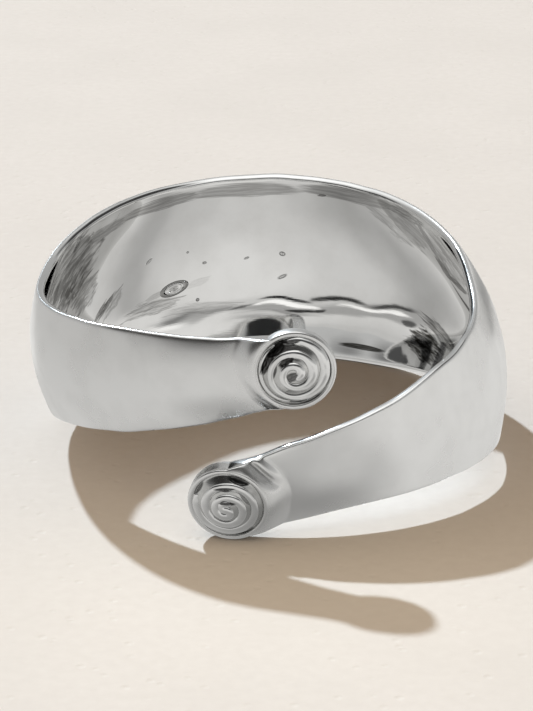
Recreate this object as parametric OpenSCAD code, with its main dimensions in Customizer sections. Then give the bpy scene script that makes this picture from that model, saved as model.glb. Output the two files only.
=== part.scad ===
// Upper arm cuff: one cast band that crosses over itself and ends in two coiled discs.
// It lies on its side, so the arm passes along Z, and the crossing faces -Y.

/* [Band] */
// Width of the cuff from side to side
cuff_w = 80; // [72:1:92]
// Depth of the cuff from the crossing to the back
cuff_d = 87.5; // [79:0.5:100]
// Height of the cuff along the arm
cuff_h = 36.6; // [33:0.1:42]
// Thickness of the metal
wall_t = 1.5; // [1.2:0.1:1.8]

/* [Coiled ends] */
// Width of each disc
disc_w = 13; // [12:0.2:14]
// How far the middle of a disc swells above its rim
dome_h = 1.5; // [1:0.1:2]
// Width of the rounded rim bead
rim_w = 1.2; // [0.8:0.1:1.4]
// Turns of the raised coil
coil_turns = 3; // [2:0.25:3.5]
// Share of the coil's pitch that the raised line takes
coil_share = 0.68; // [0.5:0.02:0.8]
// Height of the raised line above the face
coil_h = 0.5; // [0.3:0.05:0.7]

/* [Hidden] */

// Columns of SECTIONS: degrees round the arm from the front and clockwise from above, then lengths.
// REACH runs from the arm's axis to the middle of the outer face, LOW and HIGH are the heights of
// the two edges, and LOW_IN and HIGH_IN say how far each edge turns in from the middle.
TURN = 0;
REACH = 1;
LOW = 2;
HIGH = 3;
LOW_IN = 4;
HIGH_IN = 5;
SECTIONS = [
    [ -5, 40.0, 23.5, 35.0, 0.0,  0.0],
    [ 15, 39.0, 18.0, 33.5, 3.0,  1.0],
    [ 40, 40.0, 13.5, 33.0, 4.0,  0.5],
    [ 65, 41.0, 10.0, 32.0, 4.0,  0.5],
    [ 90, 40.5,  6.5, 32.5, 3.0,  2.5],
    [120, 41.0,  2.5, 35.5, 2.5,  5.0],
    [150, 43.5,  0.0, 36.5, 2.0,  6.0],
    [180, 45.0,  0.0, 37.0, 2.0,  7.0],
    [210, 44.5,  0.0, 36.0, 2.0,  8.0],
    [240, 42.0,  2.0, 33.0, 2.5,  8.0],
    [265, 39.0,  3.5, 30.5, 1.5,  6.5],
    [290, 38.5,  4.5, 27.5, 0.0,  4.0],
    [315, 38.5,  4.5, 25.0, 1.0,  1.0],
    [340, 38.5,  3.5, 20.0, 2.0, -1.0],
    [370, 39.0,  0.5, 13.0, 1.0, -1.0],
];

// Columns of ENDS: where the middle of the disc's rim stands, which way its face looks, how far the
// face is turned down, how thick the disc is, and which way its coil opens, 1 being anticlockwise.
// The height of the lower disc follows from the floor, so its row gives none.
REACH_END = 1;
MID_END = 2;
FACES = 3;
TILT = 4;
THICK = 5;
HAND = 6;
ENDS = [
    [ -5.0, 40.7,  29.3,  -4,  0, 2.3,  1],
    [369.5, 40.5, undef, 371,  9, 3.2, -1],
];
upper = ENDS[0];
lower = ENDS[1];

// Fineness of the mesh
ring_step = 5;
face_steps = 9;
cap_step = 45;
disc_sides = 48;
dome_steps = 5;
coil_steps = 24;

// The disc and its coil
disc_r = disc_w / 2;
edge_round = 0.7;
face_r = disc_r - rim_w;
face_drop = 0.4;
coil_start = 0.6;
coil_pitch = (face_r - coil_start) / coil_turns;
coil_w = coil_pitch * coil_share;
coil_sink = 0.4;
coil_taper = 0.1;
coil_from = 5;

// Value of a column at any turn, on a smooth curve through the rows
function row_before(turn, i = 0) =
    i < len(SECTIONS) - 2 && turn >= SECTIONS[i + 1][TURN] ? row_before(turn, i + 1) : i;
function slope(i, column) =
    let (before = SECTIONS[max(i - 1, 0)], after = SECTIONS[min(i + 1, len(SECTIONS) - 1)])
    (after[column] - before[column]) / (after[TURN] - before[TURN]);
function value(turn, column) =
    let (
        i = row_before(turn),
        gap = SECTIONS[i + 1][TURN] - SECTIONS[i][TURN],
        t = (turn - SECTIONS[i][TURN]) / gap,
        ease = t * t * (3 - 2 * t)
    )
    SECTIONS[i][column] * (1 - ease) + SECTIONS[i + 1][column] * ease
        + gap * t * (1 - t) * ((1 - t) * slope(i, column) - t * slope(i + 1, column));

// Outer face of the band in one section, as distance from the axis and height, v from 0 to 1
function outer(turn, v) =
    let (reach = value(turn, REACH), low = value(turn, LOW), high = value(turn, HIGH))
    [
        reach - value(turn, LOW_IN) * (1 - v) * (1 - 2 * v) - value(turn, HIGH_IN) * v * (2 * v - 1),
        low + (high - low) * v
    ];
function along(turn, v) =
    let (small = 0.01, run = outer(turn, v + small) - outer(turn, v - small)) run / norm(run);
function outward(turn, v) = let (run = along(turn, v)) [run.y, -run.x];

// Outline of one section: up the outer face, over the rounded edge, down the inner face and back
function section(turn) =
    let (edge = wall_t / 2 / (value(turn, HIGH) - value(turn, LOW)), rise = (1 - 2 * edge) / (face_steps - 1))
    concat(
        [for (i = [0:face_steps - 1]) outer(turn, edge + i * rise)],
        [for (a = [cap_step:cap_step:180 - cap_step]) edge_point(turn, 1 - edge, a)],
        [for (i = [face_steps - 1:-1:0]) let (v = edge + i * rise) outer(turn, v) - wall_t * outward(turn, v)],
        [for (a = [180 + cap_step:cap_step:360 - cap_step]) edge_point(turn, edge, a)]
    );
function edge_point(turn, v, a) =
    outer(turn, v) + wall_t / 2 * ((cos(a) - 1) * outward(turn, v) + sin(a) * along(turn, v));
function around(turn, p) = [-p.x * sin(turn), -p.x * cos(turn), p.y];

// The band's rings, and where its edge stands on the floor
first_turn = SECTIONS[0][TURN];
last_turn = SECTIONS[len(SECTIONS) - 1][TURN];
rings = [for (turn = [first_turn:ring_step:last_turn]) [for (p = section(turn)) around(turn, p)]];
band_points = [for (ring = rings) each ring];
floor_z = min([for (p = band_points) p.z]);

// The discs' rims, the lower one standing on the floor too
lower_mid = floor_z + disc_r * cos(lower[TILT]) - edge_round * sin(lower[TILT]);
function disc_middle(end) = around(end[TURN], [end[REACH_END], is_undef(end[MID_END]) ? lower_mid : end[MID_END]]);

// Middle of the whole cuff, for the origin
coil_peak_r = coil_start + coil_pitch * (1 - coil_taper);
face_rise = face_z(coil_peak_r) + coil_h;
mid_x = (min([for (p = band_points) p.x]) + max([for (p = band_points) p.x])) / 2;
mid_y = (disc_middle(upper).y - face_rise + max([for (p = band_points) p.y])) / 2;

// A closed skin over rings of points, with a flat face at each end
module skin(rings) {
    n = len(rings[0]);
    last = len(rings) - 1;
    polyhedron(
        points = [for (ring = rings) each ring],
        faces = concat(
            [[for (j = [0:n - 1]) j]],
            [for (i = [0:last - 1], j = [0:n - 1])
                let (k = (j + 1) % n) each [
                    [i * n + j, (i + 1) * n + j, (i + 1) * n + k],
                    [i * n + j, (i + 1) * n + k, i * n + k]
                ]],
            [[for (j = [n - 1:-1:0]) last * n + j]]
        ),
        convexity = 10
    );
}

module band() {
    skin(rings);
}

// Height of a disc's face above its rim, at distance r from its middle
function face_z(r) = dome_h * (1 - pow(r / face_r, 2)) - face_drop;

// A disc with a rounded edge, a bead round its rim and a domed face
module disc(thick) {
    rotate_extrude($fn = disc_sides)
        polygon(concat(
            [
                [0, -thick],
                [disc_r - edge_round, -thick],
                [disc_r, edge_round - thick],
                [disc_r, -edge_round],
                [disc_r - rim_w * 0.2, -face_drop / 2],
                [disc_r - rim_w * 0.5, 0],
                [disc_r - rim_w * 0.8, -face_drop / 2]
            ],
            [for (i = [dome_steps:-1:0]) let (r = face_r * i / dome_steps) [r, face_z(r)]]
        ));
}

// One raised line coiled outwards over the domed face, thinning to nothing at both ends
module coil(hand) {
    total = coil_turns * coil_steps;
    skin([for (i = [0:total])
        let (
            a = hand * (coil_from + 360 * i / coil_steps),
            r = coil_start + coil_pitch * i / coil_steps,
            full = min(1, coil_taper + i / coil_steps, coil_taper + (total - i) / coil_steps),
            half = coil_w / 2 * full,
            top = coil_h * full,
            line = [[-half, -coil_sink], [-half * 0.8, top * 0.7], [0, top], [half * 0.8, top * 0.7], [half, -coil_sink]]
        )
        [for (p = hand > 0 ? line : reversed(line))
            [(r + p.x) * cos(a), (r + p.x) * sin(a), face_z(r) + p.y]]
    ]);
}
function reversed(list) = [for (i = [len(list) - 1:-1:0]) list[i]];

module coiled_end(end) {
    translate(disc_middle(end))
        rotate([90 + end[TILT], 0, -end[FACES]]) {
            disc(end[THICK]);
            coil(end[HAND]);
        }
}

// One piece of polished silver
module cuff() {
    color("silver")
        resize([cuff_w, cuff_d, cuff_h])
            translate([-mid_x, -mid_y, -floor_z]) {
                band();
                coiled_end(upper);
                coiled_end(lower);
            }
}

cuff();
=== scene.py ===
from math import cos, exp, radians, sin

import bmesh
import bpy
from mathutils import Matrix, Vector, noise


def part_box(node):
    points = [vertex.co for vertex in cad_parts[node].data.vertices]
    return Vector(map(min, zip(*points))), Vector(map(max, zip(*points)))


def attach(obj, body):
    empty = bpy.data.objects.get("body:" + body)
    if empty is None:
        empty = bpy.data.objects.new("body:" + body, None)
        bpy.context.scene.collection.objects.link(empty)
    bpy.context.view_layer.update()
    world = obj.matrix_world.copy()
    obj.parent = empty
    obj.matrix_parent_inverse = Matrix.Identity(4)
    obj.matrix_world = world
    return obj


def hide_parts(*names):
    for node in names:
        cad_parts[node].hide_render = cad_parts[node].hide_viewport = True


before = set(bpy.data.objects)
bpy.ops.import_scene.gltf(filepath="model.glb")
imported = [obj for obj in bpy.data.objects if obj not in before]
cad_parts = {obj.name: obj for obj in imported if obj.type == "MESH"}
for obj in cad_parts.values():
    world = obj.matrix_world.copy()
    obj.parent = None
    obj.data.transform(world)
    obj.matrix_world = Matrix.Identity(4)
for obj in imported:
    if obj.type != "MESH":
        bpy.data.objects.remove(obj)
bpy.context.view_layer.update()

# The band: one strip of cast silver, wide and crowned at the back of the arm, that narrows to
# both ends and crosses over itself. Its outer face is satin and its inner wall a mirror. It is
# bent up here section by section from a flat strip, as a smith would, then given its thickness.
MM = 0.001

# degrees round the arm, distance from the arm's axis, heights of the two edges, and how far each
# edge turns in (mm)
TURN, REACH, LOW, HIGH, LOW_IN, HIGH_IN = range(6)
SECTIONS = [
    (-5, 40.0, 23.5, 35.0, 0.0, 0.0),
    (15, 39.0, 18.0, 33.5, 3.0, 1.0),
    (40, 40.0, 13.5, 33.0, 4.0, 0.5),
    (65, 41.0, 10.0, 32.0, 4.0, 0.5),
    (90, 40.5, 6.5, 32.5, 3.0, 2.5),
    (120, 41.0, 2.5, 35.5, 2.5, 5.0),
    (150, 43.5, 0.0, 36.5, 2.0, 6.0),
    (180, 45.0, 0.0, 37.0, 2.0, 7.0),
    (210, 44.5, 0.0, 36.0, 2.0, 8.0),
    (240, 42.0, 2.0, 33.0, 2.5, 8.0),
    (265, 39.0, 3.5, 30.5, 1.5, 6.5),
    (290, 38.5, 4.5, 27.5, 0.0, 4.0),
    (315, 38.5, 4.5, 25.0, 1.0, 1.0),
    (340, 38.5, 3.5, 20.0, 2.0, -1.0),
    (370, 39.0, 0.5, 13.0, 1.0, -1.0),
]
# where the strip is bent: every 5 degrees, closer where it swells up to the two discs
BENDS = [-5, -3, -1, 1, 2.5, 4, 5.5, 7, 9, 12, 16, *range(20, 350, 5),
         350, 353, 355, 356.5, 358, 359.5, 361, 363, 366, 370]
# faces across the strip, then its thickness, how far in from each edge a row of points lies, and
# how uneven the filing left it (mm)
ACROSS = 6
WALL = 1.5
EDGE_ROW = 0.8
UNEVEN = 0.15


def put(tree, kind, inputs=(), **settings):
    """Adds a shader node. Each input gets a value, or a link where it is given an output."""
    made = tree.nodes.new("ShaderNode" + kind)
    for name, value in settings.items():
        setattr(made, name, value)
    for name, value in dict(inputs).items():
        if isinstance(value, bpy.types.NodeSocket):
            tree.links.new(value, made.inputs[name])
        else:
            made.inputs[name].default_value = value
    return made


def reckon(tree, operation, first, second, clamp=False):
    """Adds one step of arithmetic and returns its result."""
    return put(tree, "Math", {0: first, 1: second}, operation=operation, use_clamp=clamp).outputs["Value"]


def rescale(tree, value, low, high, to_low=0, to_high=1, **settings):
    """Spreads the values from low to high over those from to_low to to_high, and returns the result."""
    return put(tree, "MapRange", {"Value": value, "From Min": low, "From Max": high, "To Min": to_low,
                                  "To Max": to_high}, **settings).outputs["Result"]


def shader_group(name, inputs, outputs):
    """Starts a node group, each input given as its name, its kind of socket and its first value."""
    group = bpy.data.node_groups.new(name, "ShaderNodeTree")
    for label, kind, value in inputs:
        made = group.interface.new_socket(name=label, in_out="INPUT", socket_type="NodeSocket" + kind)
        if value is not None:
            made.default_value = value
    for label, kind in outputs:
        group.interface.new_socket(name=label, in_out="OUTPUT", socket_type="NodeSocket" + kind)
    return group, group.nodes.new("NodeGroupInput").outputs, group.nodes.new("NodeGroupOutput").inputs


def hand_polish():
    """The clouding, scratches and pits of all the silver, with each metal's own tones and gloss."""
    group, given, out = shader_group("hand_polish", (
        ("Silver", "Color", (0.8, 0.8, 0.8, 1)),
        ("Tarnish", "Color", (0.4, 0.4, 0.4, 1)),
        ("Tarnish Amount", "Float", 0.2),
        ("Smoothest", "Float", 0.06),
        ("Roughest", "Float", 0.14),
    ), (("Color", "Color"), ("Roughness", "Float"), ("Height", "Float")))
    link = group.links.new
    place = put(group, "TexCoord").outputs["Object"]
    clouds = put(group, "TexNoise", {"Vector": place, "Scale": 160, "Detail": 5, "Roughness": 0.55})
    clouds = clouds.outputs["Fac"]
    link(rescale(group, clouds, 0.3, 0.72, given["Smoothest"], given["Roughest"]), out["Roughness"])

    film = reckon(group, "MULTIPLY", rescale(group, clouds, 0.42, 0.75), given["Tarnish Amount"])
    tone = put(group, "Mix", {"Factor": film, "A": given["Silver"], "B": given["Tarnish"]}, data_type="RGBA")
    link(tone.outputs["Result"], out["Color"])

    # scratches all run one way, so their noise is drawn out along the wheel's stroke
    stroke = put(group, "Mapping", {"Vector": place, "Rotation": (0.2, 0.5, 0.3), "Scale": (260, 260, 5200)})
    hairlines = put(group, "TexNoise", {"Vector": stroke.outputs["Vector"], "Scale": 1, "Detail": 3})
    # pits are the middles of small cells, left only in a few patches
    cells = put(group, "TexVoronoi", {"Vector": place, "Scale": 900}).outputs["Distance"]
    few = put(group, "TexNoise", {"Vector": place, "Scale": 420}).outputs["Fac"]
    pitted = put(group, "Mix", {"Factor": rescale(group, few, 0.7, 0.76), "A": 1,
                                "B": rescale(group, cells, 0.05, 0.16)})
    scratched = reckon(group, "MULTIPLY", hairlines.outputs["Fac"], 0.12)
    link(reckon(group, "ADD", scratched, pitted.outputs["Result"]), out["Height"])
    return group


def mark_and_painted_shade():
    """One oval mark in the metal: pressed in, or a ring where Ring is 1, and darkened in ragged streaks: a
    real stain on the ring marks, painted dark reflections and painted shade on the rest.
    """
    group, given, out = shader_group("mark_and_painted_shade", (
        ("Middle", "Vector", None),
        ("Turn", "Vector", None),
        ("Size", "Vector", (1, 1, 1)),
        *((name, "Float", 0) for name in ("Ring", "Depth", "Stain And Shade", "Ragged")),
        *((name, "Float", 0) for name in ("Height Before", "Stain Before")),
    ), (("Height", "Float"), ("Darkening", "Float")))
    link = group.links.new
    place = put(group, "TexCoord").outputs["Object"]
    oval = put(group, "Mapping", {"Vector": place, "Location": given["Middle"], "Rotation": given["Turn"],
                                  "Scale": given["Size"]}, vector_type="TEXTURE").outputs["Vector"]
    far = put(group, "VectorMath", {0: oval}, operation="LENGTH").outputs["Value"]
    inside = reckon(group, "LESS_THAN", far, 1)

    # heights and stain from the middle of the oval, at 0, to its edge, at 1
    pressed_in = ((0, -1), (0.5, -0.8), (0.8, 0.15), (1, 0))
    ring = ((0, 0), (0.15, -0.5), (0.45, 0), (0.6, -0.4), (0.78, 1), (1, 0))
    stained_ring = ((0, 0.7), (0.2, 0.5), (0.35, 0), (0.65, 0.1), (0.86, 1), (1, 0))
    profiles = []
    for stops in (pressed_in, ring, stained_ring):
        profile = put(group, "FloatCurve", {"Value": far})
        curve = profile.mapping.curves[0]
        profile.mapping.use_clip = False
        curve.points[0].location = stops[0]
        curve.points[1].location = stops[-1]
        for stop in stops[1:-1]:
            curve.points.new(*stop)
        profile.mapping.update()
        profiles.append(profile.outputs["Value"])
    kind = put(group, "Mix", {"Factor": given["Ring"], "A": profiles[0], "B": profiles[1]}).outputs["Result"]
    deep = reckon(group, "MULTIPLY", reckon(group, "MULTIPLY", kind, inside), given["Depth"])
    link(reckon(group, "ADD", deep, given["Height Before"]), out["Height"])

    # one noise makes the outline of the darkening wander, the other splits it into threads
    streaks = []
    for drawn_out, scale in (((0.9, 0.4, 2.2), 1.5), ((0.8, 0.5, 3.4), 1.7)):
        stretched = put(group, "Mapping", {"Vector": oval, "Scale": drawn_out}).outputs["Vector"]
        streak = put(group, "TexNoise", {"Vector": stretched, "Scale": scale, "Detail": 6, "Distortion": 1.2})
        streaks.append(streak.outputs["Fac"])
    wander = reckon(group, "MULTIPLY", reckon(group, "SUBTRACT", streaks[0], 0.5),
                    reckon(group, "MULTIPLY", given["Ragged"], 2.4))
    solid = rescale(group, reckon(group, "ADD", far, wander), 1, 0.75)
    thinnest = reckon(group, "SUBTRACT", 1, reckon(group, "MULTIPLY", given["Ragged"], 0.75))
    filled = reckon(group, "MULTIPLY", solid, rescale(group, streaks[1], 0.4, 0.56, thinnest))
    darkness = put(group, "Mix", {"Factor": given["Ring"], "A": filled,
                               "B": reckon(group, "MULTIPLY", profiles[2], inside)}).outputs["Result"]
    stain_and_shade = reckon(group, "MULTIPLY", darkness, given["Stain And Shade"], clamp=True)
    link(reckon(group, "MAXIMUM", stain_and_shade, given["Stain Before"]), out["Darkening"])
    return group


polish, mark = hand_polish(), mark_and_painted_shade()


def silver(name, color, tarnish, amount, gloss, relief):
    """A polished silver: gloss is its lowest and highest roughness, relief its scratches' depth in mm."""
    made = bpy.data.materials.new(name)
    made.use_nodes = True
    tree = made.node_tree
    effect = put(tree, "Group", node_tree=polish)
    for label, value in (("Silver", (*color, 1)), ("Tarnish", (*tarnish, 1)), ("Tarnish Amount", amount),
                         ("Smoothest", gloss[0]), ("Roughest", gloss[1])):
        effect.inputs[label].default_value = value
    bump = put(tree, "Bump", {"Height": effect.outputs["Height"], "Distance": relief * MM})
    shader = tree.nodes["Principled BSDF"]
    shader.inputs["Metallic"].default_value = 1
    tree.links.new(effect.outputs["Color"], shader.inputs["Base Color"])
    tree.links.new(effect.outputs["Roughness"], shader.inputs["Roughness"])
    tree.links.new(bump.outputs["Normal"], shader.inputs["Normal"])
    return made


# how deep a mark of full depth is pressed (mm), and the dark colour of tarnish and of painted dark
# reflections and painted shade
PRESSED = 0.16
TARNISH_AND_PAINTED_SHADE = (0.05, 0.047, 0.04, 1)


def lay_marks(metal, marks, stain_and_shade_colour=TARNISH_AND_PAINTED_SHADE):
    """Marks a metal: each mark has a middle, turn and half sizes (mm, degrees), a kind and strengths."""
    tree = metal.node_tree
    so_far = {}
    for middle, turned, size, ring, depth, darkness, ragged in marks:
        one = put(tree, "Group", {
            "Middle": [c * MM for c in middle], "Turn": [radians(c) for c in turned],
            "Size": [c * MM for c in size],
            "Ring": ring, "Depth": depth, "Stain And Shade": darkness, "Ragged": ragged, **so_far,
        }, node_tree=mark)
        so_far = {"Height Before": one.outputs["Height"], "Stain Before": one.outputs["Darkening"]}
    pressed = put(tree, "Bump", {"Height": so_far["Height Before"], "Distance": PRESSED * MM})
    tree.links.new(pressed.outputs["Normal"], tree.nodes["Bump"].inputs["Normal"])
    base = tree.nodes["Principled BSDF"].inputs["Base Color"]
    clean = base.links[0].from_socket
    darkened = put(tree, "Mix", {"Factor": so_far["Stain Before"], "A": clean, "B": stain_and_shade_colour},
                   data_type="RGBA")
    tree.links.new(darkened.outputs["Result"], base)


def round_arm(turn, reach, height):
    """A place in mm, by degrees round the arm from the crossing, distance from the arm's axis and height."""
    return Vector((-reach * sin(radians(turn)), -reach * cos(radians(turn)), height))


# the metal is filed by hand and polished on a wheel: it shows faint clouding, hairline
# scratches, a few casting pits and pressed marks, and dark reflections and shade painted on in places
outer_silver = silver("silver_outer_face", (0.87, 0.87, 0.865), (0.66, 0.66, 0.65), 0.25, (0.2, 0.3), 0.002)
inner_silver = silver("silver_inner_wall", (0.9, 0.9, 0.895), (0.68, 0.67, 0.65), 0.3, (0.02, 0.05), 0.006)
edge_silver = silver("silver_edges", (0.9, 0.9, 0.895), (0.7, 0.7, 0.69), 0.25, (0.09, 0.15), 0.006)

# casting marks and stains of the inner wall, and dark reflections painted on it: degrees round the arm,
# reach and height of the middle, half length, half height and lean of the oval, 1 for a ring, depth,
# darkness, raggedness
WALL_MARKS_AND_SHADE = (
    # the ring and the small dots and strokes round it
    (153.8, 40.8, 14.7, 3.0, 1.35, 12, 1, 1, 0.7, 0),
    (148.5, 40.6, 14.1, 2.6, 0.6, 14, 0, 0, 0.3, 0.5),
    (160.5, 40.9, 15.2, 2.6, 0.8, 14, 0, 0, 0.16, 0.6),
    (145.9, 39.7, 21.2, 1.0, 0.35, 38, 0, 0.5, 0.35, 0.2),
    (157.4, 40.2, 21.5, 0.3, 0.25, 0, 0, 0.5, 0.4, 0),
    (162.2, 40.9, 18.9, 0.5, 0.3, 0, 0, 0.5, 0.4, 0),
    (173.2, 41.5, 19.1, 0.6, 0.25, 20, 0, 0.5, 0.35, 0),
    (182.2, 41.6, 19.8, 0.6, 0.45, -20, 1, 0.5, 0.4, 0),
    (182.2, 42.2, 15.2, 1.1, 0.38, 26, 0, 0.5, 0.35, 0),
    (160.4, 41.2, 11.8, 0.4, 0.35, 0, 0, 0.6, 0.5, 0),
    # painted dark reflections, ragged, at the left end of the inner wall
    (130.6, 39.1, 15.2, 3.2, 0.6, 36, 0, 0, 1, 0.7),
    (128.0, 38.9, 14.6, 2.6, 0.5, 40, 0, 0, 0.9, 0.8),
    (133.2, 39.4, 15.4, 3.6, 1.4, 36, 0, 0, 0.5, 0.95),
    (108.5, 36.5, 26.5, 11.0, 9.0, 28, 0, 0, 0.85, 0.75),
    (113.0, 36.5, 23.5, 5.5, 5.0, 40, 0, 0, 0.93, 0.7),
    (121.0, 37.5, 19.5, 4.5, 3.0, 30, 0, 0, 0.6, 0.7),
    (147.0, 40.3, 12.0, 6.5, 1.4, 3, 0, 0, 0.55, 0.95),
    (162.0, 41.2, 10.2, 7.0, 1.2, -2, 0, 0, 0.3, 0.9),
    # painted dark reflections along the upper edge, from left to right, with one small pressed dot
    (124.0, 36.4, 31.0, 8.0, 1.5, 8, 0, 0, 0.55, 0.6),
    (146.0, 36.8, 33.0, 11.0, 1.5, 5, 0, 0, 0.6, 0.5),
    (172.0, 37.2, 33.8, 13.0, 1.7, 0, 0, 0, 0.55, 0.4),
    (193.7, 37.0, 32.8, 1.0, 0.3, 5, 0, 0.5, 0.8, 0.3),
    (204.0, 36.4, 33.6, 12.0, 1.7, -4, 0, 0, 0.6, 0.4),
    # painted dark reflections, ragged, at the right end, then low down at the back
    (217.0, 37.2, 30.2, 8.0, 4.6, -40, 0, 0, 0.42, 0.7),
    (222.0, 35.6, 32.2, 5.0, 1.4, -12, 0, 0, 0.7, 0.7),
    (226.8, 37.6, 28.5, 5.0, 0.9, -76, 0, 0, 0.75, 0.7),
    (229.8, 39.8, 22.6, 2.8, 0.9, -55, 0, 0, 0.85, 0.6),
    (234.5, 40.0, 20.5, 3.4, 0.8, -20, 0, 0, 0.9, 0.6),
    (236.0, 37.5, 26.0, 7.0, 5.6, -50, 0, 0, 0.55, 0.75),
    (221.8, 41.4, 6.2, 4.6, 3.0, -15, 0, 0, 1, 0.7),
    (226.5, 41.0, 9.4, 6.0, 1.3, -24, 0, 0, 0.75, 0.8),
    (203.3, 41.2, 3.1, 5.0, 0.55, -1, 0, 0, 1, 0.2),
)
# how far each oval reaches out and in through the wall (mm)
INTO_WALL = 4
lay_marks(inner_silver, [
    (round_arm(turn, reach, height), (0, -lean, 180 - turn), (long, INTO_WALL, tall), *kind)
    for turn, reach, height, long, tall, lean, *kind in WALL_MARKS_AND_SHADE
])


def section_value(turn, column):
    """A column of SECTIONS at any turn, on a smooth curve through the rows."""
    i = max(k for k in range(len(SECTIONS) - 1) if k == 0 or SECTIONS[k][TURN] <= turn)

    def slope(k):
        before, after = SECTIONS[max(k - 1, 0)], SECTIONS[min(k + 1, len(SECTIONS) - 1)]
        return (after[column] - before[column]) / (after[TURN] - before[TURN])

    gap = SECTIONS[i + 1][TURN] - SECTIONS[i][TURN]
    t = (turn - SECTIONS[i][TURN]) / gap
    ease = t * t * (3 - 2 * t)
    return (SECTIONS[i][column] * (1 - ease) + SECTIONS[i + 1][column] * ease
            + gap * t * (1 - t) * ((1 - t) * slope(i) - t * slope(i + 1)))


def outer_place(turn, v):
    """A place on the outer face, v from 0 at the lower edge to 1 at the upper one."""
    reach, low, high, low_in, high_in = (section_value(turn, column) for column in range(REACH, HIGH_IN + 1))
    # the two edges are filed by eye, with a nick in the upper edge beside the crossing
    low += 0.3 * noise.noise(Vector((turn / 7, 0, 5))) * min(1, low / 3)
    nick = 0.5 * exp(-((turn - 331) / 4) ** 2)
    high += 0.4 * noise.noise(Vector((turn / 8, 3, 0))) - nick
    bowed = reach - low_in * (1 - v) * (1 - 2 * v) - high_in * v * (2 * v - 1)
    return round_arm(turn, bowed, low + (high - low) * v) * MM


def finish_with(piece, kind, **values):
    """Adds a modifier and applies it."""
    made = piece.modifiers.new(kind.lower(), kind)
    for name, value in values.items():
        setattr(made, name, value)
    bpy.context.view_layer.objects.active = piece
    bpy.ops.object.modifier_apply(modifier=made.name)


bpy.ops.object.select_all(action="DESELECT")
bpy.ops.mesh.primitive_grid_add(x_subdivisions=len(BENDS) - 1, y_subdivisions=ACROSS, size=2,
                                location=(0, 0, 0))
band = bpy.context.object
band.name = "band"
for metal in (outer_silver, inner_silver, edge_silver):
    band.data.materials.append(metal)
bpy.ops.object.mode_set(mode="EDIT")
bpy.ops.mesh.select_all(action="DESELECT")
strip = bmesh.from_edit_mesh(band.data)
for vert in list(strip.verts):
    turn = BENDS[round((vert.co.x + 1) / 2 * (len(BENDS) - 1))]
    row = round((vert.co.y + 1) / 2 * ACROSS)
    side = EDGE_ROW / (section_value(turn, HIGH) - section_value(turn, LOW))
    v = (0, side, 0.25, 0.5, 0.75, 1 - side, 1)[row]
    vert.select = True
    bpy.ops.transform.translate(value=outer_place(turn, v) - vert.co)
    vert.select = False
bmesh.update_edit_mesh(band.data)
bpy.ops.mesh.select_all(action="SELECT")
bpy.ops.mesh.normals_make_consistent(inside=False)
bpy.ops.object.mode_set(mode="OBJECT")
finish_with(band, "SOLIDIFY", thickness=WALL * MM, offset=-1, use_even_offset=True, material_offset=1,
            material_offset_rim=2)
finish_with(band, "SUBSURF", levels=3, render_levels=3)
# it was filed and hammered by hand, so no face is quite even
filing = bpy.data.textures.new("hand_filing", "CLOUDS")
filing.noise_scale = 11 * MM
filing.noise_depth = 1
finish_with(band, "DISPLACE", texture=filing, texture_coords="LOCAL", strength=UNEVEN * MM, mid_level=0.5)
band.data.shade_smooth()

# The two ends: each is a small round cushion of silver with a bead round its rim, a domed face
# and a line coiled on the face, all cast in one with the band. The upper coil opens anticlockwise
# and the lower one clockwise; the lower disc is the thicker and stands on the surface.

# radius of a disc and of its face inside the bead, height of the dome, how far the dome's foot and
# the rim's shoulder lie under the bead's crest, and how far over the face a coil's line runs (mm)
DISC_R = 6.5
FACE_R = 5.4
DOME = 1.9
FACE_DROP = 0.57
SHOULDER_DROP = 0.35
LINE_OVER_FACE = 0.06
# steps inwards and up, over the bead and down into the groove beside it, then in to the middle
BEAD = ((0.12, 0.2), (0.22, 0.12), (0.3, 0.0), (0.22, -0.12), (0.12, -0.22), (0.06, -0.2))
FACE_STEPS = (0.3, 0.9, 0.9, 0.9, 0.9, 0.9)
GROOVE_SLOT = 1
# radius of the two rounds of the small S that starts the lower line (mm)
LOWER_START = 0.6
# where each disc stands: degrees round the arm, reach and height of the middle of its rim, which
# way its face looks, and how far the face is turned down
UPPER = dict(turn=-5, reach=40.7, height=29.3, faces=-4, tilt=0)
LOWER = dict(turn=369.5, reach=40.5, height=6.4, faces=371, tilt=9)

groove_silver = silver("silver_groove", (0.66, 0.66, 0.65), (0.4, 0.4, 0.39), 0.7, (0.12, 0.25), 0.02)
coil_silver = silver("silver_coil", (0.88, 0.88, 0.875), (0.55, 0.55, 0.54), 0.5, (0.08, 0.16), 0.01)


def pick(piece, kind, wanted):
    """Selects in edit mode the faces or vertices that the test wants, and nothing else."""
    bpy.ops.mesh.select_mode(type=kind)
    bpy.ops.mesh.select_all(action="DESELECT")
    shape = bmesh.from_edit_mesh(piece.data)
    for part in shape.faces if kind == "FACE" else shape.verts:
        part.select = bool(wanted(part))
    shape.select_flush(True)
    bmesh.update_edit_mesh(piece.data)


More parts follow.
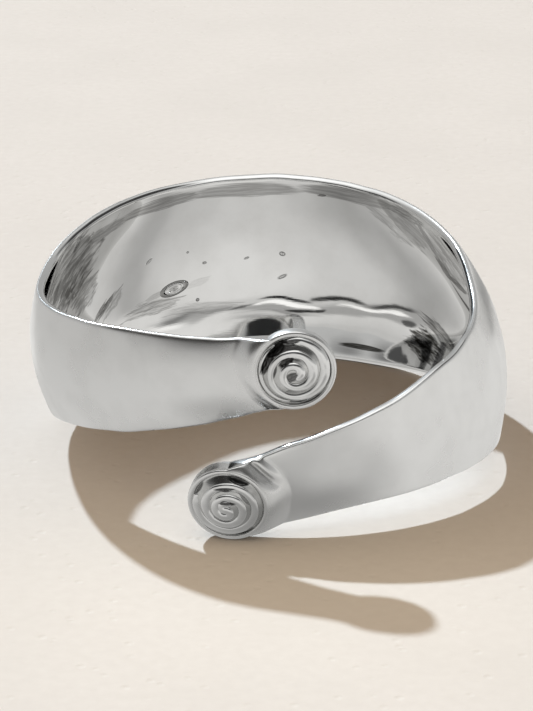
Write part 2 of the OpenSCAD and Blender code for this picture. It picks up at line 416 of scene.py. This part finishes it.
def round_end(name, thick):
    """A disc with its face up and the crest of its bead a hair under zero."""
    bpy.ops.object.select_all(action="DESELECT")
    bpy.ops.mesh.primitive_cylinder_add(vertices=64, radius=DISC_R * MM, depth=thick * MM,
                                        end_fill_type="NGON", location=(0, 0, 0))
    piece = bpy.context.object
    piece.name = name
    piece.data.materials.append(outer_silver)
    piece.data.materials.append(groove_silver)
    bpy.ops.object.mode_set(mode="EDIT")
    bpy.ops.mesh.select_all(action="SELECT")
    bpy.ops.transform.translate(value=(0, 0, -thick / 2 * MM))
    pick(piece, "FACE", lambda face: face.normal.z < -0.9)
    bpy.ops.mesh.inset(thickness=0.5 * MM, depth=0)
    pick(piece, "FACE", lambda face: face.normal.z > 0.9)
    bpy.ops.transform.translate(value=(0, 0, -SHOULDER_DROP * MM))
    for inwards, up in BEAD:
        bpy.ops.mesh.inset(thickness=inwards * MM, depth=up * MM)
    shape = bmesh.from_edit_mesh(piece.data)
    for face in shape.faces:
        if face.select:
            face.material_index = GROOVE_SLOT
    bmesh.update_edit_mesh(piece.data)
    for inwards in FACE_STEPS:
        bpy.ops.mesh.inset(thickness=inwards * MM, depth=0)
    bpy.ops.mesh.poke()
    pick(piece, "VERT", lambda vert: vert.co.xy.length < 0.01 * MM and vert.co.z > -1.0 * MM)
    bpy.ops.transform.translate(value=(0, 0, DOME * MM), use_proportional_edit=True,
                                use_proportional_connected=True, proportional_size=FACE_R * MM,
                                proportional_edit_falloff="INVERSE_SQUARE")
    bpy.ops.object.mode_set(mode="OBJECT")
    finish_with(piece, "SUBSURF", levels=2, render_levels=2)
    piece.data.shade_smooth()
    return piece


def dome_height(x, y):
    return DOME * (1 - min(1, (x * x + y * y) / FACE_R ** 2)) - FACE_DROP


def on_face(r, degrees, x=0, y=0):
    """A point of a coil's line round x, y, a little above the domed face (mm)."""
    x, y = x + r * cos(radians(degrees)), y + r * sin(radians(degrees))
    return Vector((x, y, dome_height(x, y) + LINE_OVER_FACE))


def winding(hand, start, pitch, turns, from_angle, step=6):
    """The line of a coil, a little out of round. It opens anticlockwise where hand is 1."""
    line = []
    for i in range(round(turns * 360 / step) + 1):
        angle = from_angle + hand * step * i
        r = (start + pitch * i * step / 360) * (1 + 0.012 * sin(2 * radians(angle) + 1))
        line.append(on_face(r, angle))
    return line


def coil(name, points, width, height, uneven=0):
    """One raised line along the points, its section drawn out point by point and thinned at both ends."""
    last = len(points) - 1
    headings = [(points[min(i + 1, last)] - points[max(i - 1, 0)]).xy for i in range(last + 1)]
    thinned = [min(1, 0.4 + 0.2 * min(i, last - i)) for i in range(last + 1)]
    sizes = [thin * (1 + 0.09 * noise.noise(point * 0.9)) * (1 + uneven * point.x / 5)
             for thin, point in zip(thinned, points)]
    bpy.ops.object.select_all(action="DESELECT")
    bpy.ops.mesh.primitive_circle_add(vertices=12, radius=0.5 * MM, fill_type="NGON", location=(0, 0, 0),
                                      rotation=(radians(90), 0, 0))
    piece = bpy.context.object
    piece.name = name
    piece.data.materials.append(coil_silver)
    bpy.ops.object.transform_apply(location=False, rotation=True, scale=False)
    bpy.ops.object.mode_set(mode="EDIT")
    bpy.ops.mesh.select_all(action="SELECT")
    # the section is made a low wide oval, then stood across the start of the line
    bpy.ops.transform.resize(value=(width * sizes[0], 1, height * sizes[0]), center_override=(0, 0, 0))
    turned = Vector((0, 1)).angle_signed(headings[0])
    bpy.ops.transform.rotate(value=turned, orient_axis="Z", center_override=(0, 0, 0))
    bpy.ops.transform.translate(value=points[0] * MM)
    for i in range(1, last + 1):
        here = points[i] * MM
        bpy.ops.mesh.extrude_region_move(TRANSFORM_OT_translate={"value": here - points[i - 1] * MM})
        turned = headings[i - 1].angle_signed(headings[i])
        bpy.ops.transform.rotate(value=turned, orient_axis="Z", center_override=here)
        bpy.ops.transform.resize(value=(sizes[i] / sizes[i - 1],) * 3, center_override=here)
    bpy.ops.mesh.select_all(action="SELECT")
    bpy.ops.mesh.normals_make_consistent(inside=False)
    bpy.ops.object.mode_set(mode="OBJECT")
    finish_with(piece, "SUBSURF", levels=1, render_levels=1)
    piece.data.shade_smooth()
    return piece


def standing(turn, reach, height, faces, tilt):
    """Brings a disc, or a place on it, to where it stands in the cuff."""
    facing = Matrix.Rotation(radians(-faces), 4, "Z") @ Matrix.Rotation(radians(90 + tilt), 4, "X")
    return Matrix.Translation(round_arm(turn, reach, height) * MM) @ facing


upper_disc = round_end("upper_disc", 2.3)
lower_disc = round_end("lower_disc", 3.2)
upper_coil = coil("upper_coil", winding(1, 0.45, 1.84, 2.5, 104 - 2.5 * 360), 1.42, 0.85, 0.36)
# a last short piece of line lies outside the upper coil on its left
upper_tail = coil("upper_tail", [on_face(5.22 - 0.012 * i, 124 + 7 * i) for i in range(21)], 0.78, 0.8)
# the lower line starts as a small S in the middle of the face
small_s = [on_face(LOWER_START, a, 0, LOWER_START) for a in range(10, 260, 20)]
small_s += [on_face(LOWER_START, a, 0, -LOWER_START) for a in range(90, -85, -20)]
lower_coil = coil("lower_coil", small_s + winding(-1, 2 * LOWER_START, 1.72, 2.3, 270), 1.46, 0.75)
for place, pieces in ((UPPER, (upper_disc, upper_coil, upper_tail)), (LOWER, (lower_disc, lower_coil))):
    for piece in pieces:
        piece.data.transform(standing(**place))

# The swellings: beside each disc the strip is drawn up to the crest of the bead, so that disc and
# band are one casting. A crease lies under the upper disc, and a pinched hollow with a fold along
# it between the lower disc and the arm. The band's own surface is pushed about, as in wax.

# how far in from the rim the bead's crest lies, at what height the strip meets it, how deep and how
# steeply the strip is sunk under the disc, how far out from the rim and how far down it is drawn up,
# how much a face must look outwards to be drawn at all, and how fast its share grows with that (mm)
CREST = 0.45
MEETS_BEAD = -0.02
SUNK = -1.3
STEEP = 3
AS_FAR = 8
AS_DEEP = 6
FACES_OUT = 0.05
SHARE_GROWS = 2.5


def bell(off, width):
    return exp(-(off / width) ** 2)


def along_line(here, start, end):
    """How far along the line from start to end a place lies, from 0 to 1, and how far beside it (mm)."""
    line = (end - start).normalized()
    from_start = here.xy - start
    return from_start.dot(line) / (end - start).length, from_start.dot(Vector((-line.y, line.x)))


def upper_dents(here):
    along, off = along_line(here, Vector((-6.9, -3.4)), Vector((-1.8, -7.0)))
    return -0.2 * bell(off, 0.4) * max(0, 1 - (2 * along - 1) ** 2) if 0 < along < 1 else 0


def lower_dents(here):
    along, off = along_line(here, Vector((2.6, 8.0)), Vector((7.6, 3.0)))
    length = max(0, 1 - (2 * along - 1) ** 2 * 0.8) if -0.06 < along < 1.06 else 0
    return length * (0.25 * bell(off - 1.1, 0.5) - 0.8 * bell(off, 0.55))


def draw_up(place, width, soft, dents):
    """Draws the outer face up to a disc over the given width, and sinks what lies under the disc."""
    from_disc = standing(**place)
    to_disc = from_disc.inverted()
    turn_only = to_disc.to_3x3()
    crest_r = DISC_R - CREST
    # the normals are all read first, because they change as the surface moves
    facings = [(turn_only @ vert.normal).z for vert in band.data.vertices]
    for vert, facing in zip(band.data.vertices, facings):
        here = to_disc @ vert.co / MM
        from_middle = here.xy.length
        if from_middle > DISC_R + AS_FAR or facing < FACES_OUT or here.z < -AS_DEEP:
            continue
        share = min(1, facing * SHARE_GROWS)
        t = max(0, from_middle - crest_r) / width(here)
        if from_middle < crest_r:
            here.z = max(SUNK, MEETS_BEAD - STEEP * (crest_r - from_middle))
        elif t < 1:
            rounded, straight = 1 - t * t * (3 - 2 * t), 1 - t
            here.z += max(0, MEETS_BEAD - here.z) * share * (rounded * soft + straight * (1 - soft))
        if from_middle > crest_r:
            here.z += share * dents(here)
        vert.co = from_disc @ (here * MM)


draw_up(UPPER, lambda here: 2.2 + 1.4 * min(1, max(0, (here.y + 3) / 4)), 1, upper_dents)
draw_up(LOWER, lambda here: 3.3, 0.35, lower_dents)
band.data.update()

# The whole cuff: one casting of silver that stands on its lower edge and its lower disc. It takes
# the place of the solid, so it is brought to the same size and stood on the same surface.
cuff_pieces = [band, upper_disc, upper_coil, upper_tail, lower_disc, lower_coil]
corners = [vert.co.copy() for piece in cuff_pieces for vert in piece.data.vertices]
built_low, built_high = (Vector([side(c[k] for c in corners) for k in range(3)]) for side in (min, max))
solid_low, solid_high = (Vector(c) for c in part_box("cuff"))
growth = [(solid_high[k] - solid_low[k]) / (built_high[k] - built_low[k]) for k in range(3)]


def settle(place):
    return Vector([solid_low[k] + (place[k] - built_low[k]) * growth[k] for k in range(3)])


for piece in cuff_pieces:
    for vert in piece.data.vertices:
        vert.co = settle(vert.co)
    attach(piece, "root")
    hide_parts("cuff")

# Painted dark reflections and painted shade on the ends: black spots painted in the grooves of the
# coils and on some ridges, a dark line of painted shade in the hollow beside the lower disc, and
# painted dark reflections under the upper edge of the lower arm. They are colour only, not shape.

# place on the disc, half length and half width, lean and darkness of the painted dark reflection (mm,
# degrees)
UPPER_SPOTS = (
    (-4.3, 1.7, 2.7, 1.0, 66, 1), (-2.9, 3.7, 2.2, 1.0, 38, 1), (-0.6, 4.8, 1.8, 0.6, 8, 0.95),
    (-3.3, 0.4, 1.6, 0.6, 80, 0.9), (-1.3, 1.9, 1.5, 0.75, 36, 1), (2.3, -4.4, 2.1, 0.6, 27, 0.8),
    (-0.9, -4.7, 2.3, 0.5, -8, 0.6), (0.2, -2.9, 1.8, 0.4, 5, 0.5), (4.4, 2.4, 1.6, 0.5, -55, 0.5),
    (1.2, 2.7, 1.4, 0.45, -25, 0.7), (-0.5, -0.5, 1.2, 0.8, 30, 0.85), (1.7, -1.3, 1.3, 0.4, 70, 0.9),
)
LOWER_SPOTS = (
    (1.9, 4.6, 2.0, 0.7, -18, 0.945), (-0.2, 3.5, 2.1, 0.6, 5, 0.95), (-4.8, 2.6, 1.9, 0.6, 60, 0.8),
    (-2.9, 1.6, 1.4, 0.5, 62, 0.8), (0.3, 1.3, 1.7, 0.5, 0, 0.95), (-0.4, -3.3, 2.2, 0.5, 0, 0.8),
    (2.4, -4.7, 1.8, 0.5, 22, 0.85), (2.9, 1.9, 1.5, 0.4, -55, 0.6),
)
# degrees round the arm, reach and height of the middle, half length, half height, lean and darkness of the
# painted dark reflection
EDGE_SHADE_LINES = (
    (354.0, 39.5, 17.0, 5.5, 0.55, -17, 0.95),
    (340.5, 39.5, 20.5, 4.5, 0.4, -21, 0.85),
    (330.0, 39.0, 22.6, 3.0, 0.3, -22, 0.7),
)
# how far a mark reaches into the metal (mm), the darkness from which a painted dark reflection lies on the
# coil too, and the colour of these painted marks
INTO_METAL = 3
ON_RIDGES_FROM = 0.94
PAINTED_SHADE_BLACK = (0.012, 0.011, 0.01, 1)


def spot(place, x, y, z, lean, sizes, *kind):
    """A mark at a place on a disc's face, brought to where the disc stands."""
    middle = settle(standing(**place) @ (Vector((x, y, z)) * MM)) / MM
    return middle, (place["tilt"], -lean, -place["faces"]), sizes, *kind


groove_shade_spots, ridge_shade_spots = [], []
for place, spots in ((UPPER, UPPER_SPOTS), (LOWER, LOWER_SPOTS)):
    for x, y, long, wide, lean, darkness in spots:
        z = dome_height(x, y)
        groove_shade_spots.append(spot(place, x, y, z, lean, (long, INTO_METAL, wide), 0, 0.4, darkness, 0.3))
        if darkness > ON_RIDGES_FROM:
            on_ridge = (long * 0.9, INTO_METAL, wide * 0.5)
            ridge_shade_spots.append(spot(place, x, y, z, lean, on_ridge, 0, 0.4, darkness, 0.3))
lay_marks(groove_silver, groove_shade_spots, PAINTED_SHADE_BLACK)
lay_marks(coil_silver, ridge_shade_spots, PAINTED_SHADE_BLACK)
# painted shade in the hollow beside the lower disc, and painted dark reflections under the upper edge of the
# lower arm
hollow = spot(LOWER, 5.0, 5.6, -0.8, -45, (3.0, INTO_METAL, 0.8), 0, 0, 0.4, 0.5)
under_edge = [
    (round_arm(turn, reach, height), (0, -lean, 180 - turn), (long, INTO_METAL, tall), 0, 0, darkness, 0.3)
    for turn, reach, height, long, tall, lean, darkness in EDGE_SHADE_LINES
]
lay_marks(outer_silver, [hollow, *under_edge])
lay_marks(edge_silver, under_edge)

# The surface: a plain pale slab, a little warm, with a fine grain, faint clouding and small
# pores. The silver doesn't mirror it, so that it can stay plain.

# across in metres, deep in mm
WIDE = 3
PORE_DEPTH = 0.15


def sheet(name, height):
    """A wide level plane of the stage."""
    bpy.ops.object.select_all(action="DESELECT")
    bpy.ops.mesh.primitive_plane_add(size=WIDE, location=(0, 0, height))
    plane = bpy.context.object
    plane.name = name
    return plane


slab = bpy.data.materials.new("pale_slab")
slab.use_nodes = True
tree = slab.node_tree
place = put(tree, "TexCoord").outputs["Object"]
grain = put(tree, "TexNoise", {"Vector": place, "Scale": 500, "Detail": 6}).outputs["Fac"]
cloud = put(tree, "TexNoise", {"Vector": place, "Scale": 32, "Detail": 8}).outputs["Fac"]
pores = put(tree, "TexVoronoi", {"Vector": place, "Scale": 260}).outputs["Distance"]
tint = put(tree, "Mix", {"Factor": grain, "A": (0.66, 0.625, 0.585, 1), "B": (0.74, 0.71, 0.67, 1)},
           data_type="RGBA")
mottled = put(tree, "Mix", {"Factor": rescale(tree, cloud, 0.35, 0.7, 0, 0.4), "A": tint.outputs["Result"],
                            "B": (0.64, 0.61, 0.57, 1)}, data_type="RGBA")
porous = put(tree, "Bump", {"Height": rescale(tree, pores, 0.06, 0.2), "Strength": 0.5,
                            "Distance": PORE_DEPTH * MM})
shader = tree.nodes["Principled BSDF"]
shader.inputs["Roughness"].default_value = 0.8
tree.links.new(mottled.outputs["Result"], shader.inputs["Base Color"])
tree.links.new(porous.outputs["Normal"], shader.inputs["Normal"])
floor = sheet("floor", 0)
floor.data.materials.append(slab)
floor.visible_glossy = False

# Painted reflections: a glowing sheet with soft pale and dark patches paints what the silver mirrors from
# below. It is seen in the silver alone, lights nothing, and lies a hair under the slab.
RIPPLE = 9
# middle, half sizes, turn, tone, and how much of the oval is full tone, in mm and degrees
AROUND_CUFF = (
    ((-52, 60), (40, 55), 20, 0.95, 0.2),
    ((98, 142), (76, 44), 30, 0.12, 0.35),
    ((36, -100), (40, 62), 12, 0.4, 0.1),
    ((6, -46), (40, 17), 4, 0.3, 0.2),
    ((13, -54), (14, 10), 0, 0.5, 0.3),
    ((23, -48), (15, 10), 20, 0.6, 0.2),
)
INSIDE_CUFF = (
    ((0, 0), (43, 46), 0, 0.38, 0.7),
    ((-38, -3), (12, 20), 0, 0.66, 0.4),
    ((5, 5), (25, 30), 0, 0.62, 0.6),
    ((8, 9), (17, 15), 25, 0.74, 0.4),
    ((25, 26), (11, 15), 0, 0.72, 0.6),
    ((38, 6), (6, 16), 0, 0.95, 0.3),
    ((29, 6), (5, 9), 0, 0.22, 0.2),
    ((0, -15), (14, 5), 0, 1.05, 0.7),
    ((-17, 9), (3, 15), 8, 1.0, 0.6),
    ((1, -6), (9, 2.5), 6, 0.02, 0.6),
    ((-8.5, 3), (2.6, 10), 25, 0.03, 0.5),
    ((-12.6, 18), (2.2, 13), -4, 0.06, 0.4),
    ((-29, 18), (8, 5), 30, 0.1, 0.6),
    ((-15, -21), (3, 7), 0, 0.03, 0.6),
    ((20, -18), (3, 14), 50, 0.14, 0.4),
    ((-9, -29), (13, 6), -42, 0.03, 0.7),
)

tones = bpy.data.materials.new("painted_reflection_tones")
tones.use_nodes = True
tree = tones.node_tree
tree.nodes.remove(tree.nodes["Principled BSDF"])
place = put(tree, "TexCoord").outputs["Object"]
ripple = put(tree, "TexNoise", {"Vector": place, "Scale": 55, "Detail": 3}).outputs["Color"]
wavy = put(tree, "VectorMath", {0: ripple, 1: (RIPPLE * MM, RIPPLE * MM, 0), 2: place},
           operation="MULTIPLY_ADD")
across = put(tree, "SeparateXYZ", {"Vector": place}).outputs["X"]
tone = rescale(tree, across, -120 * MM, 60 * MM, 0.56, 0.76)
for (x, y), (half_x, half_y), turn, patch_tone, core in AROUND_CUFF + INSIDE_CUFF:
    # the ripple moves the pattern by half its size on average
    oval = put(tree, "Mapping", {
        "Vector": wavy.outputs["Vector"], "Location": ((x + RIPPLE / 2) * MM, (y + RIPPLE / 2) * MM, 0),
        "Rotation": (0, 0, radians(turn)), "Scale": (half_x * MM, half_y * MM, 1),
    }, vector_type="TEXTURE")
    level = put(tree, "VectorMath", {0: oval.outputs["Vector"], 1: (1, 1, 0)}, operation="MULTIPLY")
    far = put(tree, "VectorMath", {0: level.outputs["Vector"]}, operation="LENGTH").outputs["Value"]
    covered = rescale(tree, far, core, 1, 1, 0, interpolation_type="SMOOTHSTEP")
    tone = put(tree, "Mix", {"Factor": covered, "A": tone, "B": patch_tone}).outputs["Result"]
light_path = put(tree, "LightPath").outputs
in_sight = reckon(tree, "LESS_THAN", light_path["Diffuse Depth"], 0.5)
strength = reckon(tree, "MULTIPLY", in_sight, tone)
glow = put(tree, "Emission", {"Color": (1, 0.99, 0.965, 1), "Strength": strength})
tree.links.new(glow.outputs["Emission"], tree.nodes["Material Output"].inputs["Surface"])
reflection_card = sheet("painted_reflection_card", -0.3 * MM)
reflection_card.data.materials.append(tones)
for kind in ("camera", "diffuse", "transmission", "volume_scatter", "shadow"):
    setattr(reflection_card, "visible_" + kind, False)

# The room and its light: a sun from behind on the left, halfway up the sky, and a warm pale room
# light the slab. In the silver the room is greyer, brightest overhead, with dark corners, most of
# them in front.
SLAB_SEES_LOW = (1.34, 1.19, 1.02, 1)
SLAB_SEES_HIGH = (0.14, 0.06, 0, 1)
THROWN_TINT = (0.5, 0.24, 0.05, 1)
# height in the room from 0 to 1, and tone
ROOM_TONES = ((0.0, 0.5), (0.3, 0.38), (0.65, 0.42), (0.86, 0.8), (1.0, 1.3))
# azimuth from the front and elevation, angles where it is full and where it ends, and tone
DARK_CORNERS = (
    (-62, 20, 13, 22, 0.04),
    (-38, 22, 14, 22, 0.03),
    (-12, 27, 13, 20, 0.05),
    (14, 25, 13, 20, 0.05),
    (40, 28, 10, 18, 0.08),
    (112, 48, 16, 28, 0.04),
    (-150, 27, 9, 13, 0.02),
)

world = bpy.data.worlds.new("room")
bpy.context.scene.world = world
world.use_nodes = True
tree = world.node_tree
way = put(tree, "TexCoord").outputs["Generated"]
height = put(tree, "SeparateXYZ", {"Vector": way}).outputs["Z"]
overhead = put(tree, "Mix", {"Factor": height, "A": SLAB_SEES_LOW, "B": SLAB_SEES_HIGH}, data_type="RGBA")
tree.links.new(overhead.outputs["Result"], tree.nodes["Background"].inputs["Color"])

ramp = put(tree, "ValToRGB", {"Fac": height})
stops = ramp.color_ramp.elements
for at, tone in ROOM_TONES:
    stop = stops[0] if at == 0 else stops[-1] if at == 1 else stops.new(at)
    stop.color = (tone, tone, tone * 0.985, 1)
room_tone = ramp.outputs["Color"]
for azimuth, elevation, full, end, tone in DARK_CORNERS:
    a, e = radians(azimuth), radians(elevation)
    towards = (sin(a) * cos(e), -cos(a) * cos(e), sin(e))
    near = put(tree, "VectorMath", {0: way, 1: towards}, operation="DOT_PRODUCT").outputs["Value"]
    covered = rescale(tree, near, cos(radians(end)), cos(radians(full)), interpolation_type="SMOOTHSTEP")
    darker = put(tree, "Mix", {"Factor": covered, "A": room_tone, "B": (tone, tone, tone, 1)},
                 data_type="RGBA")
    room_tone = darker.outputs["Result"]

# what the silver throws on to the slab is dimmer and browner
light_path = put(tree, "LightPath").outputs
by_way = reckon(tree, "GREATER_THAN", light_path["Diffuse Depth"], 0.5)
thrown = put(tree, "Mix", {"Factor": by_way, "A": room_tone, "B": THROWN_TINT}, data_type="RGBA",
             blend_type="MULTIPLY")
room = put(tree, "Background", {"Color": thrown.outputs["Result"]})
sky = tree.nodes["Background"].outputs["Background"]
either = put(tree, "MixShader", {"Fac": light_path["Is Glossy Ray"], 1: sky, 2: room.outputs["Background"]})
tree.links.new(either.outputs["Shader"], tree.nodes["World Output"].inputs["Surface"])

bpy.ops.object.light_add(type="SUN", location=(0, 0, 0))
sun = bpy.context.object
sun.name = "sun"
sun.rotation_euler = Vector((0.484, -0.891, -1)).to_track_quat("-Z", "Y").to_euler()
sun.data.energy = 3.35
sun.data.angle = radians(2.2)
sun.data.color = (0.8, 0.9, 0.99)

# the outer faces throw the sun back on to the slab in front of them: a soft lamp stands in for it
bpy.ops.object.light_add(type="AREA", location=(3 * MM, -56 * MM, 55 * MM))
thrown_back = bpy.context.object
thrown_back.name = "light_off_the_silver"
thrown_back.data.shape = "RECTANGLE"
thrown_back.data.size = 90 * MM
thrown_back.data.size_y = 45 * MM
thrown_back.data.energy = 0.0088
thrown_back.data.color = (1, 0.9, 0.7)
thrown_back.visible_camera = False
thrown_back.visible_glossy = False

# The camera: a long lens on a stand before the crossing, a little to the right of it, that looks
# down on the cuff.
LOOK_DOWN = radians(20.81)
LOOK_LEFT = radians(0.867)
bpy.ops.object.camera_add(location=(6 * MM, -440 * MM, 183 * MM))
camera = bpy.context.object
camera.name = "camera"
look = Vector((-sin(LOOK_LEFT) * cos(LOOK_DOWN), cos(LOOK_LEFT) * cos(LOOK_DOWN), -sin(LOOK_DOWN)))
camera.rotation_euler = look.to_track_quat("-Z", "Y").to_euler()
camera.data.sensor_fit = "HORIZONTAL"
camera.data.sensor_width = 36
camera.data.lens = 188.2
bpy.context.scene.camera = camera
bpy.context.scene.view_settings.view_transform = "Standard"
